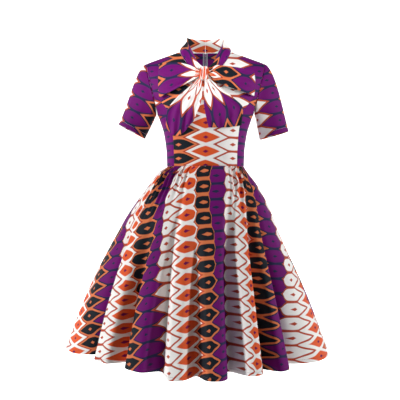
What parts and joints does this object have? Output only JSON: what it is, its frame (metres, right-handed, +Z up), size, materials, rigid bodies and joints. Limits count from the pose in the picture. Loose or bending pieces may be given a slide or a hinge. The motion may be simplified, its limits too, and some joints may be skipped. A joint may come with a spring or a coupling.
{
  "type": "tie-neck swing dress",
  "caption": "Knee-length printed dress, hollow as worn: fitted bodice, short sleeves, standing tie collar with a soft bow, gathered full skirt and a zip down the back.",
  "frame": {"origin": "midway between the shoulders, level with the side of the neck, where the wearer's shoulders hold the dress up", "axes": "+Z up; the dress faces -Y; +X is the wearer's left side, which is the viewer's right from the front"},
  "size_m": [0.8631, 0.815, 1.0434],
  "materials": {
    "printed_cloth": "matt woven crepe with an all-over lozenge print",
    "zip_tape": "matt woven tape",
    "nickel": "satin plated metal"
  },
  "bodies": {
    "dress": {"bodice_front": "printed_cloth", "bodice_side_right": "printed_cloth", "bodice_side_left": "printed_cloth", "bodice_back_right": "printed_cloth", "bodice_back_left": "printed_cloth", "sleeve_right": "printed_cloth", "sleeve_left": "printed_cloth", "collar_right": "printed_cloth", "collar_left": "printed_cloth", "bow_knot": "printed_cloth", "bow_loop_right": "printed_cloth", "bow_loop_left": "printed_cloth", "bow_tail_right": "printed_cloth", "bow_tail_left": "printed_cloth", "skirt_front": "printed_cloth", "skirt_back_right": "printed_cloth", "skirt_back_left": "printed_cloth", "zip_tape_right": "zip_tape", "zip_tape_left": "zip_tape", "zip_slider": "nickel"},
    "pull_tab": {"zip_pull_tab": "nickel"}
  },
  "joints": [
    {"name": "pull_tab_hinge", "type": "hinge", "parent": "dress", "child": "pull_tab", "pos_m": [0, 0.07726, -0.00273], "axis": [1, 0, 0], "range_deg": [0, 140]}
  ]
}
